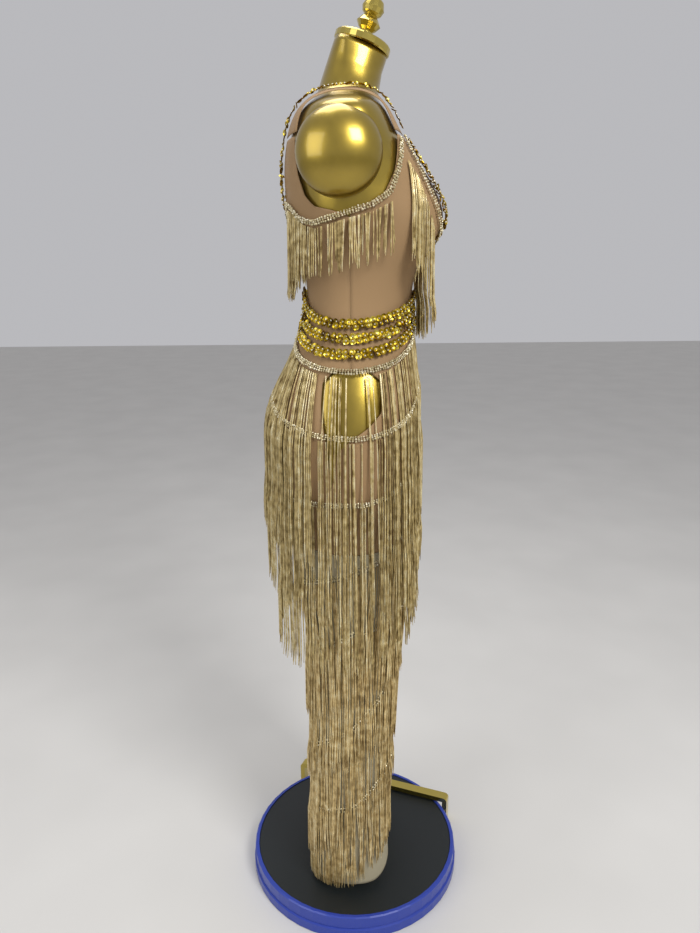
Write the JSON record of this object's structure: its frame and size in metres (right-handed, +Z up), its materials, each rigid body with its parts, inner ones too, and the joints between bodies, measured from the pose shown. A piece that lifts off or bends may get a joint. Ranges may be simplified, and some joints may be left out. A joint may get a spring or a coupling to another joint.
{
  "type": "fringed jumpsuit on a limbless dress form",
  "caption": "Sheer mesh jumpsuit with tiers of fringe, beaded headers and cup-sequin trims, standing on a gold limbless dress form with a round base",
  "frame": {"origin": "centre of the underside of the round base, on the floor", "axes": "+Z up; the form faces -Y; the wearer's right side is at -X"},
  "size_m": [0.4254, 0.4135, 1.5662],
  "materials": {
    "gold_form": "satin gold lacquer with a glossy clear coat on a smooth moulded shell",
    "gold_metal": "polished gold plate",
    "base_black": "smooth black, slightly glossy",
    "base_blue": "glossy royal blue rim",
    "mesh_cloth": "sheer nude stretch mesh",
    "sequins": "gold cup sequins with clear stones",
    "beads": "champagne beads and flat sequins on tape",
    "fringe": "lustrous champagne chainette fringe"
  },
  "bodies": {
    "root": {"form_torso": "gold_form", "neck_cap": "gold_metal", "finial": "gold_metal", "base_disc": "base_black", "base_rim": "base_blue", "pole": "gold_metal", "floor_bar": "gold_metal", "bar_stay": "gold_metal", "bodice_front_right": "mesh_cloth", "bodice_front_left": "mesh_cloth", "bodice_back_right": "mesh_cloth", "bodice_back_left": "mesh_cloth", "shoulder_strap_right": "mesh_cloth", "shoulder_strap_left": "mesh_cloth", "leg_right": "mesh_cloth", "leg_left": "mesh_cloth", "hip_front": "mesh_cloth", "hip_back": "mesh_cloth", "crotch_gusset": "mesh_cloth", "waist_sequins_1": "sequins", "hip_header_1": "beads", "hip_fringe_1": "fringe", "waist_sequins_2": "sequins", "hip_header_2": "beads", "hip_fringe_2": "fringe", "waist_sequins_3": "sequins", "hip_header_3": "beads", "hip_fringe_3": "fringe", "leg_header_1_right": "beads", "leg_fringe_1_right": "fringe", "leg_header_1_left": "beads", "leg_fringe_1_left": "fringe", "leg_header_2_right": "beads", "leg_fringe_2_right": "fringe", "leg_header_2_left": "beads", "leg_fringe_2_left": "fringe", "leg_header_3_right": "beads", "leg_fringe_3_right": "fringe", "leg_header_3_left": "beads", "leg_fringe_3_left": "fringe", "leg_header_4_right": "beads", "leg_fringe_4_right": "fringe", "leg_header_4_left": "beads", "leg_fringe_4_left": "fringe", "neckline_sequins_right": "sequins", "neckline_sequins_left": "sequins", "neckline_header_right": "beads", "neckline_header_left": "beads", "rope_sequins_right": "sequins", "rope_sequins_left": "sequins", "bodice_header_right": "beads", "bodice_header_left": "beads", "bust_fringe_right": "fringe", "bust_fringe_left": "fringe", "side_fringe_right": "fringe", "side_fringe_left": "fringe"}
  },
  "joints": []
}
